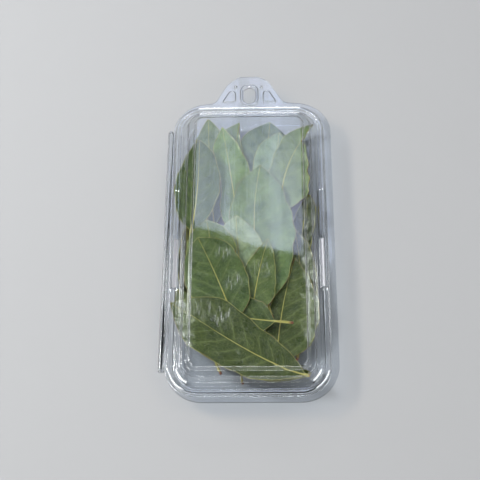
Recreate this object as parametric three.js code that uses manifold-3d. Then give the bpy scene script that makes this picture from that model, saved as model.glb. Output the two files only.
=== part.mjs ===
// Clear hinged clamshell hang pack filled with loose bay leaves.
// Millimetres, +Z up. The origin is on the tray's flat underside, at the middle of the body.
// +Y runs towards the hang tab, and the hinge lies along the -X side.
import * as THREE from 'three';
import Module from 'manifold-3d';

const wasm = await Module();
wasm.setup();

// ---- driving dimensions ----
const SHEET = 0.5;            // thickness of the thermoformed sheet
const BODY_HALF_WIDTH = 48;   // to the outer foot of the rim ridge
const BODY_HALF_LENGTH = 99;
const BODY_CORNER = 18.7;
const FLANGE_RIGHT = 4.2;     // flat flange beyond the ridge on the opening side
const FLANGE_FRONT = 3.3;
const FLANGE_TAB = 3.5;
const FLANGE_HINGE = 0.3;
const TRAY_FLANGE_TOP = 13.0;
const SHELL_GAP = 0.3;        // between the two flanges when shut
const LID_FLANGE_TOP = TRAY_FLANGE_TOP + SHELL_GAP + SHEET;
const CORNER_STEPS = 6;
const ARC_SEGMENTS = 10;

// hinge bead: one half tube on each shell, folded along the outer edge
const BEAD_RADIUS = 1.95;
const BEAD_X = -50.3;
const BEAD_ENDS = [-84, 81.6];
const BEAD_STEPS = 8;

// hang tab and its slot
const TAB_OUTLINE = [
  [-26.5, 101.4], [26.5, 101.4], [23.4, 102.6], [21, 104.9], [13.8, 118.2], [11.9, 121], [9, 122.8],
  [6, 123.8], [-6.6, 123.8], [-8.6, 123.2], [-13.2, 120.2], [-14.6, 118.2], [-21.4, 104.6],
  [-23.2, 102.5],
];
const SLOT_CENTRE_Y = 109;
const SLOT_HALF_WIDTH = 3.75;
const SLOT_STRAIGHT = 2.8;    // half the straight length of the slot's sides
const SLOT_RING = 2.6;        // width of the raised ring round the slot
const SLOT_RING_RISE = 1.2;

// lock bars pressed up along both long sides of the lid
const LOCK_BAR_X = [42.7, 45.7];
const LOCK_BAR_Y = [-33, 1];
const LOCK_BAR_TOP = 3.6;     // above the lid's flange
const LOCK_BAR_FOOT = 1.9;

// Sections of the two shells: [inset from the ridge's foot, height], from the middle outwards.
const TRAY_SECTION = [
  [9.6, 0], [8.7, 0.5], [8.1, 2.6], [7.6, 3.0], [6.3, 3.1], [5.6, 3.8], [3.3, 10.4],
  [2.8, 11.0], [1.3, 11.3], [0.9, 11.8], [0.55, TRAY_FLANGE_TOP - SHEET],
  [-FLANGE_RIGHT, TRAY_FLANGE_TOP - SHEET],
];
const LID_SECTION = [
  [15.5, 11.2], [14.2, 11.1], [13.7, 10.6], [12.6, 8.3], [12.0, 8.0], [9.6, 7.8],
  [9.0, 7.2], [7.3, 3.2], [6.6, 2.8], [5.4, 2.6], [4.6, 2.0], [3.6, 2.1], [2.9, 2.6],
  [1.9, 2.7], [0.9, 2.5], [0.35, 1.8], [0, 0], [-FLANGE_RIGHT, 0],
].map(([inset, rise]) => [inset, LID_FLANGE_TOP + rise]);

// ---- solids ----
function meshGeometry(positions, triangles) {
  const geometry = new THREE.BufferGeometry();
  geometry.setAttribute('position', new THREE.Float32BufferAttribute(positions, 3));
  geometry.setIndex(triangles);
  return geometry;
}

function toSolid(geometry) {
  const vertProperties = Float32Array.from(geometry.attributes.position.array);
  const triVerts = Uint32Array.from(geometry.index.array);
  const mesh = new wasm.Mesh({ numProp: 3, vertProperties, triVerts });
  mesh.merge();
  return new wasm.Manifold(mesh);
}

function fromSolid(solid) {
  const mesh = solid.getMesh();
  return meshGeometry(Array.from(mesh.vertProperties), Array.from(mesh.triVerts));
}

function extrudedSolid(shape, depth, z) {
  const settings = { depth, bevelEnabled: false, curveSegments: ARC_SEGMENTS };
  const geometry = new THREE.ExtrudeGeometry(shape, settings);
  geometry.translate(0, 0, z);
  return indexedSolid(geometry);
}

// Gives a geometry's loose triangles shared corners, so that it is one closed mesh.
function indexedSolid(geometry) {
  const source = geometry.index ? geometry.toNonIndexed() : geometry;
  const flat = source.attributes.position;
  const seen = new Map();
  const positions = [];
  const triangles = [];
  for (let i = 0; i < flat.count; i += 1) {
    const corner = [flat.getX(i), flat.getY(i), flat.getZ(i)];
    const key = corner.map((value) => value.toFixed(4)).join();
    if (!seen.has(key)) {
      seen.set(key, positions.length / 3);
      positions.push(...corner);
    }
    triangles.push(seen.get(key));
  }
  return toSolid(meshGeometry(positions, triangles));
}

// ---- shells ----
// A rounded rectangle inset from the ridge's foot; a negative inset runs out over the flange.
function bodyOutline([inset, z]) {
  const grow = Math.max(0, -inset) / FLANGE_RIGHT;
  const shrink = Math.max(0, inset);
  const right = BODY_HALF_WIDTH - shrink + grow * FLANGE_RIGHT;
  const left = BODY_HALF_WIDTH - shrink + grow * FLANGE_HINGE;
  const top = BODY_HALF_LENGTH - shrink + grow * FLANGE_TAB;
  const front = BODY_HALF_LENGTH - shrink + grow * FLANGE_FRONT;
  const radius = BODY_CORNER - shrink;
  const corners = [
    [right, top, radius + grow * FLANGE_FRONT, 0], [-left, top, radius + grow, 90],
    [-left, -front, radius + grow, 180], [right, -front, radius + grow * FLANGE_FRONT, 270],
  ];
  const points = [];
  for (const [x, y, r, start] of corners) {
    for (let i = 0; i <= CORNER_STEPS; i += 1) {
      const angle = THREE.MathUtils.degToRad(start + 90 * i / CORNER_STEPS);
      const cx = x - Math.sign(x) * r;
      const cy = y - Math.sign(y) * r;
      points.push([cx + r * Math.cos(angle), cy + r * Math.sin(angle), z]);
    }
  }
  return points;
}

// Moves a section sideways by the sheet's thickness, with mitred corners.
function offsetSection(section, distance) {
  const directions = section.slice(1).map(([inset, z], i) => {
    const run = new THREE.Vector2(section[i][0] - inset, z - section[i][1]).normalize();
    return new THREE.Vector2(-run.y, run.x);
  });
  return section.map(([inset, z], i) => {
    const before = directions[Math.max(0, i - 1)];
    const after = directions[Math.min(i, directions.length - 1)];
    const mitre = before.clone().add(after).normalize();
    const length = distance / Math.max(0.75, mitre.dot(after));
    return [inset - mitre.x * length, z + mitre.y * length];
  });
}

// A closed shell through two sections: the lower face from the middle out, then the upper back in.
function loftShell(lowerSection, upperSection) {
  const rings = [...lowerSection, ...upperSection.slice().reverse()].map(bodyOutline);
  const count = rings[0].length;
  const positions = rings.flat(2);
  const triangles = [];
  for (let ring = 0; ring < rings.length - 1; ring += 1) {
    for (let i = 0; i < count; i += 1) {
      const next = (i + 1) % count;
      const [a, b] = [ring * count + i, ring * count + next];
      const [c, d] = [a + count, b + count];
      triangles.push(a, b, d, a, d, c);
    }
  }
  const lowest = positions.length / 3;
  positions.push(0, 0, rings[0][0][2], 0, 0, rings[rings.length - 1][0][2]);
  const last = (rings.length - 1) * count;
  for (let i = 0; i < count; i += 1) {
    const next = (i + 1) % count;
    triangles.push(lowest, next, i, lowest + 1, last + i, last + next);
  }
  return toSolid(meshGeometry(positions, triangles));
}

function slotShape(margin) {
  const r = SLOT_HALF_WIDTH + margin;
  const shape = new THREE.Shape();
  shape.absarc(0, SLOT_CENTRE_Y + SLOT_STRAIGHT, r, 0, Math.PI, false);
  shape.absarc(0, SLOT_CENTRE_Y - SLOT_STRAIGHT, r, Math.PI, 2 * Math.PI, false);
  return shape;
}

const tabShape = () => new THREE.Shape(TAB_OUTLINE.map(([x, y]) => new THREE.Vector2(x, y)));

// Half tube along the hinge side with a short foot into the flange; side is +1 up, -1 down.
function hingeBead(side, faceZ) {
  const inner = BEAD_RADIUS - SHEET;
  const outerEnd = Math.asin(SHEET / BEAD_RADIUS);
  const section = [];
  for (let i = 0; i <= BEAD_STEPS; i += 1) {
    const angle = THREE.MathUtils.lerp(Math.PI, outerEnd, i / BEAD_STEPS);
    section.push([BEAD_X + BEAD_RADIUS * Math.cos(angle), BEAD_RADIUS * Math.sin(angle)]);
  }
  section.push([-BODY_HALF_WIDTH + SHEET, SHEET], [-BODY_HALF_WIDTH + SHEET, 0]);
  for (let i = 0; i <= BEAD_STEPS; i += 1) {
    const angle = Math.PI * i / BEAD_STEPS;
    section.push([BEAD_X + inner * Math.cos(angle), inner * Math.sin(angle)]);
  }
  const shape = new THREE.Shape(section.map(([x, rise]) => new THREE.Vector2(x, rise)));
  const length = BEAD_ENDS[1] - BEAD_ENDS[0];
  const geometry = new THREE.ExtrudeGeometry(shape, { depth: length, bevelEnabled: false });
  geometry.rotateX(Math.PI / 2);
  geometry.translate(0, BEAD_ENDS[1], 0);
  const bead = indexedSolid(geometry);
  return (side > 0 ? bead : bead.mirror([0, 0, 1])).translate([0, 0, faceZ]);
}

function lockBar(side) {
  const [near, far] = LOCK_BAR_X;
  const height = LOCK_BAR_TOP - LOCK_BAR_FOOT;
  const geometry = new THREE.BoxGeometry(far - near, LOCK_BAR_Y[1] - LOCK_BAR_Y[0], height);
  const y = (LOCK_BAR_Y[0] + LOCK_BAR_Y[1]) / 2;
  geometry.translate(side * (near + far) / 2, y, LID_FLANGE_TOP + LOCK_BAR_FOOT + height / 2);
  return indexedSolid(geometry);
}

function trayShell() {
  const flangeUnder = TRAY_FLANGE_TOP - SHEET;
  const body = loftShell(TRAY_SECTION, offsetSection(TRAY_SECTION, SHEET));
  const slot = extrudedSolid(slotShape(0), 4 * SHEET, flangeUnder - SHEET);
  return fromSolid(body
    .add(extrudedSolid(tabShape(), SHEET, flangeUnder))
    .add(hingeBead(-1, TRAY_FLANGE_TOP))
    .subtract(slot));
}

function lidShell() {
  const flangeUnder = LID_FLANGE_TOP - SHEET;
  const body = loftShell(offsetSection(LID_SECTION, -SHEET), LID_SECTION);
  const slot = extrudedSolid(slotShape(0), 6 * SHEET + SLOT_RING_RISE, flangeUnder - SHEET);
  return fromSolid(body
    .add(extrudedSolid(tabShape(), SHEET, flangeUnder))
    .add(extrudedSolid(slotShape(SLOT_RING), SHEET + SLOT_RING_RISE, flangeUnder))
    .add(hingeBead(1, flangeUnder))
    .add(lockBar(1))
    .add(lockBar(-1))
    .subtract(slot));
}

// ---- leaves ----
const LEAF_THICKNESS = 0.36;
const MIDRIB_DEPTH = 0.25;
const STALK_HALF_WIDTH = 0.65;
const STALK_THICKNESS = 1.1;
const STALK_ROUNDING = 0.5;   // how much thinner the stalk is at its sides
const STALK_FADE = [-0.02, 0.08];   // where along the blade the stalk's thickness runs out
const TIP_TAPER = 0.6;        // how much narrower the midrib is at the tip
const TIP_START = 0.6;
const STALK_SECTIONS = 3;
const BLADE_SECTIONS = 13;
const ACROSS = [-1, -0.55, 0, 0.55, 1];
const BLADE_PLACES = [0, 0.2, 0.5, 0.8, 1];
const RIM_LEVEL = 13.2;       // leaves lean towards this height where they meet the walls
const SIDE_LEAN = 0.8;        // how much of the way they lean at the sides and at the ends
const SIDE_LEAN_X = [30, 47];
const END_LEAN = 0.5;
const END_LEAN_Y = [80, 97];

// stalk and tip are where the cut stalk and the leaf's point lie, and turn is the point that the
// midrib's curve leans towards. left and right are the blade's half widths at BLADE_PLACES. stem
// is the bare stalk's length, level is the blade's height, and keel, curl and ripple are how it
// folds, cups and waves.
const LEAVES = {
  leaf_buried: {
    stalk: [-3.6, -88.2], turn: [-9, -54.5], tip: [-14.3, -20.8], stem: 9,
    left: [6, 9, 6], right: [6, 9, 6],
    level: 2.2, keel: 0.3, curl: 0.3, ripple: 0.2,
  },
  leaf_top_middle: {
    stalk: [-13.7, 26.3], turn: [-13, 59.5], tip: [-6.7, 92], stem: 7,
    left: [9, 14, 12.5], right: [5, 7, 2.5],
    level: 2.4, keel: 0.1, curl: 0.1, ripple: 0.2,
  },
  leaf_top_right: {
    stalk: [7.8, 26.1], turn: [9.5, 59.5], tip: [13.4, 92.5], stem: 7,
    left: [11, 16.5, 17], right: [10, 17.5, 14.5],
    level: 1.5, keel: -0.2, curl: 0.2, ripple: 0.2,
  },
  leaf_front_right: {
    stalk: [-16, -67], turn: [8, -80.5], tip: [35.9, -82.5], stem: 7,
    left: [5.5, 8.5, 5.5], right: [8.5, 7.5, 4],
    level: 4.4, keel: 0.2, curl: 0.2, ripple: 0.2,
  },
  leaf_top_left: {
    stalk: [-21, 8.4], turn: [-26.5, 52.5], tip: [-27, 94], stem: 8,
    left: [7.5, 11.5, 8], right: [8.5, 14, 11],
    level: 3.8, keel: 0.4, curl: 0.3, ripple: 0.2,
  },
  leaf_right_dark: {
    stalk: [29.4, -29], turn: [30.5, 4], tip: [37.6, 37], stem: 7,
    left: [5, 7.5, 5], right: [4, 6, 5.5],
    level: 3.8, keel: 0.2, curl: 0.2, ripple: 0.2,
  },
  leaf_upper_middle: {
    stalk: [-5.2, 1], turn: [-10, 44], tip: [-17.8, 88.4], stem: 8,
    left: [9, 6.5, 8], right: [8.5, 12.5, 8],
    level: 5.4, keel: 0.3, curl: 0.2, ripple: 0.2,
  },
  leaf_right_inner: {
    stalk: [14.7, 11.5], turn: [16, 48], tip: [19.2, 85], stem: 8,
    left: [9, 14, 13], right: [8, 12.5, 9],
    level: 4.5, keel: 0.2, curl: 0.2, ripple: 0.2,
  },
  leaf_right_edge: {
    stalk: [28, -74.4], turn: [35, -31.5], tip: [28.3, 11.6], stem: 9,
    left: [5.5, 8.5, 6], right: [6, 8.5, 7],
    level: 6, keel: 0.3, curl: 0.2, ripple: 0.2,
  },
  leaf_right_upper: {
    stalk: [21, 14.8], turn: [15.5, 56.5], tip: [41, 87.5], stem: 8,
    left: [6.5, 10.5, 10], right: [15, 13.5, 1],
    level: 6.8, keel: 0.3, curl: 0.2, ripple: 0.3,
  },
  leaf_right_lower: {
    stalk: [15.9, -85.4], turn: [16.5, -46.5], tip: [27.9, -8.6], stem: 8,
    left: [7, 7, 1], right: [18.5, 21.5, 13],
    level: 8, keel: 0.3, curl: 0.3, ripple: 0.2,
  },
  leaf_centre_large: {
    stalk: [14, -48.7], turn: [-3.5, 4], tip: [7.1, 57.4], stem: 9,
    left: [9.5, 15, 12.5], right: [18.5, 24, 18],
    level: 9.6, keel: 0.3, curl: 0.2, ripple: 0.2,
  },
  leaf_front_left: {
    stalk: [-16, -84.5], turn: [-27.5, -57], tip: [-43, -31], stem: 9,
    left: [6, 9, 6], right: [6, 9, 6],
    level: 10.7, keel: 0.2, curl: 0.2, ripple: 0.2,
  },
  leaf_left_dark: {
    stalk: [-33, -55.5], turn: [-38, -21.5], tip: [-38.6, 13.5], stem: 7,
    left: [2.5, 5.5, 3], right: [5.5, 8.5, 5.5],
    level: 8.4, keel: 0.3, curl: 0.2, ripple: 0.2,
  },
  leaf_centre_pale: {
    stalk: [-1.2, -49.3], turn: [-6.4, -16.5], tip: [-8.2, 19.8], stem: 8,
    left: [9.5, 15, 11.5], right: [10.5, 16.5, 11.5],
    level: 11.2, keel: 0.3, curl: 0.2, ripple: 0.2,
  },
  leaf_left_upper: {
    stalk: [-36.6, -0.3], turn: [-31, 37], tip: [-32.3, 75.3], stem: 9,
    left: [11, 13.5, 8], right: [9.5, 13.5, 10],
    level: 12.2, keel: 0.3, curl: 0.2, ripple: 0.2,
  },
  leaf_centre_lower: {
    stalk: [1.2, -55.2], turn: [3.5, -26], tip: [11.5, 2.2], stem: 8,
    left: [6, 9, 4.5], right: [10.5, 10, 6],
    level: 12.7, keel: 0.2, curl: 0.2, ripple: 0.2,
  },
  leaf_left_middle: {
    stalk: [-20.2, -34], turn: [-21, -9], tip: [-26.3, 15.3], stem: 7,
    left: [9.5, 15, 11], right: [9.5, 14.5, 10],
    level: 13.9, keel: 0.2, curl: 0.2, ripple: 0.2,
  },
  leaf_long_stalk: {
    stalk: [26.1, -54], turn: [-4, -51.5], tip: [-26.5, -46], stem: 10,
    left: [8, 10, 6.5], right: [11, 13, 8],
    level: 14.2, keel: 0.2, curl: 0.2, ripple: 0.2,
  },
  leaf_round_left: {
    stalk: [-5.7, -61.4], turn: [-16.5, -28], tip: [-31.2, 2.2], stem: 8,
    left: [12, 18.5, 14], right: [13.5, 17, 15],
    level: 15.6, keel: 0.3, curl: 0.2, ripple: 0.2,
  },
  leaf_front_large: {
    stalk: [34.9, -87.5], turn: [12, -84.5], tip: [-46.5, -40.5], stem: 6,
    left: [6, 14.5, 15], right: [8.5, 15, 18],
    level: 17.05, keel: 0.1, curl: 0, ripple: 0.2,
  },
};

const smoothstep = (x, low, high) => THREE.MathUtils.smoothstep(x, low, high);

// Half width of a blade: a smooth curve through its squared half widths, which ends in a point.
function halfWidth(widths, along) {
  if (along <= 0 || along >= 1) return 0;
  const squares = [0, ...widths.map((width) => width ** 2), 0];
  const last = squares.length - 1;
  const slope = (i) => (i === 0 || i === last ? 0
    : (squares[i + 1] - squares[i - 1]) / (BLADE_PLACES[i + 1] - BLADE_PLACES[i - 1]));
  const i = BLADE_PLACES.findLastIndex((place) => place <= along);
  const span = BLADE_PLACES[i + 1] - BLADE_PLACES[i];
  const t = (along - BLADE_PLACES[i]) / span;
  const square = squares[i] * (1 + 2 * t) * (1 - t) ** 2 + squares[i + 1] * (3 - 2 * t) * t ** 2
    + span * (slope(i) * t * (1 - t) ** 2 - slope(i + 1) * t ** 2 * (1 - t));
  return Math.sqrt(Math.max(0, square));
}

function leafSurfaceHeight(leaf, x, y, along, across) {
  const beside = SIDE_LEAN * smoothstep(Math.abs(x), ...SIDE_LEAN_X);
  const beyond = END_LEAN * smoothstep(Math.abs(y), ...END_LEAN_Y);
  const rest = THREE.MathUtils.lerp(leaf.level, RIM_LEVEL, Math.max(beside, beyond));
  const station = THREE.MathUtils.clamp(along, 0, 1);
  const keel = leaf.keel * across ** 2;
  const curl = leaf.curl * (2 * station - 1) ** 2;
  const ripple = leaf.ripple * Math.sin(3 * Math.PI * station) * across ** 2;
  return rest + keel + curl + ripple;
}

// One closed body: thin sections strung along the midrib, from the cut stalk to the point.
function leafGeometry(leaf) {
  const [stalk, turn, tip] = [leaf.stalk, leaf.turn, leaf.tip].map((at) => new THREE.Vector2(...at));
  const midrib = new THREE.QuadraticBezierCurve(stalk, turn, tip);
  const bladeStart = leaf.stem / stalk.distanceTo(tip);
  const stations = [];
  for (let i = 0; i < STALK_SECTIONS; i += 1) stations.push(bladeStart * i / STALK_SECTIONS);
  for (let i = 0; i <= BLADE_SECTIONS; i += 1) {
    stations.push(bladeStart + (1 - bladeStart) * (i / BLADE_SECTIONS));
  }
  const positions = [];
  for (const station of stations) {
    const centre = midrib.getPoint(station);
    const heading = midrib.getTangent(station);
    const along = (station - bladeStart) / (1 - bladeStart);
    const stalkShare = 1 - smoothstep(along, ...STALK_FADE);
    const half = THREE.MathUtils.lerp(LEAF_THICKNESS, STALK_THICKNESS, stalkShare) / 2;
    const edge = STALK_HALF_WIDTH * (1 - TIP_TAPER * smoothstep(along, TIP_START, 1));
    const section = ACROSS.map((across) => {
      const reach = edge + halfWidth(across > 0 ? leaf.left : leaf.right, along);
      const x = centre.x - heading.y * across * reach;
      const y = centre.y + heading.x * across * reach;
      const z = leafSurfaceHeight(leaf, x, y, along, across);
      const round = half * (1 - STALK_ROUNDING * stalkShare * across ** 2);
      const rib = across === 0 ? MIDRIB_DEPTH * (1 - stalkShare) : 0;
      return { x, y, top: z + round, bottom: z - round - rib };
    });
    for (const point of section) positions.push(point.x, point.y, point.top);
    for (const point of section.slice().reverse()) positions.push(point.x, point.y, point.bottom);
  }
  return meshGeometry(positions, stripTriangles(stations.length, 2 * ACROSS.length));
}

// Joins rings of equal counts into a closed strip and caps both ends.
function stripTriangles(rings, count) {
  const triangles = [];
  for (let ring = 0; ring < rings - 1; ring += 1) {
    for (let i = 0; i < count; i += 1) {
      const [a, b] = [ring * count + i, ring * count + (i + 1) % count];
      const [c, d] = [a + count, b + count];
      triangles.push(a, d, b, a, c, d);
    }
  }
  const last = (rings - 1) * count;
  for (let i = 0; i < ACROSS.length - 1; i += 1) {
    const under = count - 1 - i;
    triangles.push(i, i + 1, under, i + 1, under - 1, under);
    triangles.push(last + i, last + under, last + i + 1);
    triangles.push(last + i + 1, last + under, last + under - 1);
  }
  return triangles;
}

// ---- assembly ----
const clearSheet = () => new THREE.MeshStandardMaterial({
  color: '#dfe8ee', roughness: 0.08, metalness: 0, transparent: true, opacity: 0.3,
});
const leafGreen = () => new THREE.MeshStandardMaterial({
  color: '#5c7a34', roughness: 0.45, metalness: 0,
});

function addPart(group, name, geometry, material) {
  const mesh = new THREE.Mesh(geometry, material);
  mesh.name = name;
  group.add(mesh);
}

const pack = new THREE.Group();
addPart(pack, 'tray_shell', trayShell(), clearSheet());
for (const [name, leaf] of Object.entries(LEAVES)) {
  addPart(pack, name, leafGeometry(leaf), leafGreen());
}
addPart(pack, 'lid_shell', lidShell(), clearSheet());

export default pack;
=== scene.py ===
"""Clear hinged clamshell pack of loose bay leaves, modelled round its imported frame.

Each sheet is pressed from one rounded plate, ring by ring, and given its thickness. Each leaf is
a grid laid along its midrib, at the height where the frame's own leaf lies. Lengths are plain
millimetres, apart from the sizes in the sidebar and the places of the lights, which are metres.
"""

import math
from collections import namedtuple
from functools import partial

import bmesh
import bpy
from mathutils import Matrix, Vector


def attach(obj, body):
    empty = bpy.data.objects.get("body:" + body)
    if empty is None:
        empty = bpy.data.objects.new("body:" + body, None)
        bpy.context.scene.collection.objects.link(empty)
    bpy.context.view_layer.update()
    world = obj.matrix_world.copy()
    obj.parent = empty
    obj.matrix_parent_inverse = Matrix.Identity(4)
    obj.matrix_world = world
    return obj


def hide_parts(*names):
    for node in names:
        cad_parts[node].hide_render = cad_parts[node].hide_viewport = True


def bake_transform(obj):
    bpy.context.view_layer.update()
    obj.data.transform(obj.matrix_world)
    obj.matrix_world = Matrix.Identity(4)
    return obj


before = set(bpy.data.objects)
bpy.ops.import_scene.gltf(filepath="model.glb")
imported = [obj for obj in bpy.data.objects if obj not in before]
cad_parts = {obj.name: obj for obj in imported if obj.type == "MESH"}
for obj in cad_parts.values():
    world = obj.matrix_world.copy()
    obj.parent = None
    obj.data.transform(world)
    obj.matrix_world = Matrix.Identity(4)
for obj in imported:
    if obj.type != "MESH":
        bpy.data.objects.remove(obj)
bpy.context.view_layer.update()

bl_info = {
    "name": "Bay leaf clamshell pack",
    "version": (1, 0, 0),
    "blender": (4, 5, 0),
    "location": "View3D > Sidebar > Bay pack",
    "description": "Models a clear clamshell pack filled with loose bay leaves",
    "category": "Add Mesh",
}

MM = 0.001

# ---- the pressed sheets ----
FLANGE = 3.75  # flat flange before its sides are trimmed
# Each side of the flange by the way it faces, and how far its edge is then moved.
TRIM = [((-1, 0), (3.05, 0)), ((1, 0), (0.45, 0)), ((0, -1), (0, 0.45)), ((0, 1), (0, -0.25))]
CORNER_SEGMENTS = 16
ROUND_SEGMENTS = 32
ARC_STEPS = 3  # straight pieces that make up a bend
SHEET_BEND = 0.62  # outside radius of a bend in the sheet
FORM_BEND = 0.3  # and in the small forms of the tab and the bead
TRAY_FACE_Z = 12.5  # underside of the tray's flange
LID_FACE_Z = 13.8  # top of the lid's flange
CUT_ROUNDING = 0.14  # how far the sheet's cut edges are rounded
CUT_ANGLE = math.radians(60)  # an edge sharper than this is a cut edge
SMOOTH_ANGLE = math.radians(50)
CUT_TOLERANCE = 1e-6  # metres from a cutting plane that count as on it
BEND_SHARE = 0.45  # the most of a straight that the bend at either end takes up
CLOSE, NEAR = 0.01, 0.3  # how near an edge or face is to the place where it is sought

# Sections from the flange inwards: (inset from the ridge's foot, rise from the flange's face).
LID_SECTION = [
    (0, 0), (0.35, 1.8), (0.9, 2.5), (1.9, 2.7), (2.9, 2.6), (3.6, 2.1), (4.6, 2.0), (5.4, 2.6),
    (6.6, 2.8), (7.3, 3.2), (9.0, 7.2), (9.6, 7.8), (12.0, 8.0), (12.6, 8.3), (13.7, 10.6),
    (14.2, 11.1), (15.5, 11.2),
]
TRAY_SECTION = [
    (0.55, 0), (0.9, -0.7), (1.3, -1.2), (2.8, -1.5), (3.3, -2.1), (5.6, -8.7), (6.3, -9.4),
    (7.6, -9.5), (8.1, -9.9), (8.7, -12.0), (9.6, -12.5),
]

# hang tab: rows of (distance past the flange, left x, right x), then what is pressed into it
TAB_ROWS = [
    (0.5, -24.1, 25.0), (1.3, -22.6, 22.8), (2.3, -21.5, 21.4), (15.4, -14.5, 13.9),
    (18.2, -11.2, 12.1), (21.5, -7.0, 6.3),
]
TAB_REACH = 20  # the tab's foot stays within this distance of the middle
TAB_CORNER = 1.4
TAB_CORNER_ZONE = 8  # the tab's outer corners lie this close to its end
SLOT_CENTRE = (0, 109.0)
SLOT_HALF_WIDTH = 3.75
SLOT_STRAIGHT = 2.8  # half the straight length of the slot's sides
SLOT_EDGE = [(0, 0), (0.8, 0)]  # this and the next sections run from a form's foot inwards
RING_SECTION = [(0, 0), (0.55, 1.15), (1.9, 1.2), (2.55, 0.35)]
PAD_CORNERS = [(8.6, 103.4), (18.3, 103.4), (12.7, 113.4), (8.6, 111.8)]
PAD_ROUNDING = 1.95
PAD_SECTION = [(0, 0), (0.4, 0.8), (0.9, 0.9)]
STUD_CENTRES = [(-9.0, 115.9), (7.9, 115.7)]
STUD_RADIUS = 1.15
STUD_SECTION = [(0, 0), (0.35, 0.55), (0.8, 0.7)]

# hinge bead: a half tube on each sheet, along the folded side
BEAD_X = -50.5
BEAD_RADIUS = 1.75
BEAD_ENDS = (-83.3, 79.7)
BEAD_DOMES = (  # the section that closes each end
    [(0, 0), (0.3, 0.35), (0.8, 0.6), (1.3, 0.7)],
    [(0, 0), (0.45, 0.9), (0.95, 1.5), (1.45, 1.9)],
)
FOLD_RADIUS = 0.3
FOLD_SEGMENTS = 24
FOLD_THICKNESS = 0.14

# lock zone on both long sides of the lid, with a bar pressed up in part of it
LOCK_ZONE = (-34.0, 36.0)
LOCK_STEP = 1.2  # length of the step at each end of the zone
LOCK_BEND = 0.4  # length of the soft bend at each end of a step
LOCK_GROOVE = (42.9, 47.5)  # the groove and ridge that the zone lifts
LOCK_LIFT = 0.35
LOCK_BAR_X = (42.7, 45.7)
LOCK_BAR_Y = (-32.0, 1.0)
LOCK_BAR_SECTION = (0.35, 0.8)  # inset and rise
RIDGE_X = (40, 48.4)  # the ridges and grooves of the long sides
GRAINED = 1  # the lid's second material slot

# where the lid's panel is scuffed: x, y and radius of each patch
SCUFFS = [(-27, -50, 10), (-14, -54, 10), (7, -24, 9), (-14, -12, 8), (-8, -32, 9)]
PANEL_Z = 25
SCUFF_CLARITY = 0.86  # share of light that still passes clear in a scratch

# ---- the leaves ----
RIM_LEVEL = 13.2  # leaves lean towards this height where they meet the walls
SIDE_LEAN = 0.8  # how much of the way they lean at the sides and at the ends
SIDE_LEAN_X = (30, 47)
END_LEAN = 0.5
END_LEAN_Y = (80, 97)
STALK_HALF_WIDTH = 0.65
STALK_THICKNESS = 1.1
STALK_FADE = (-0.02, 0.08)  # where along the blade the stalk's thickness runs out
TIP_TAPER = 0.6  # how much narrower the midrib is at the tip
TIP_START = 0.6
MIDRIB_DEPTH = 0.25
MIDRIB_SIDE = (0.25, 0.9)  # distance from its middle over which the midrib falls away
QUILT_DEPTH = 0.05  # how far the blade swells between its side veins
QUILT_SIDE = (0.8, 3)
LEAF_COLUMNS = 28
LEAF_ROWS = 84
CORE = 4 / LEAF_COLUMNS  # share of the columns that stays on the midrib
LEAF_SMOOTH_ANGLE = math.radians(60)
WAVE_STEP = 1.7  # sets each leaf's waves apart from the leaf's before it
BLADE_PLACES = (0, 0.2, 0.5, 0.8, 1)

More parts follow.
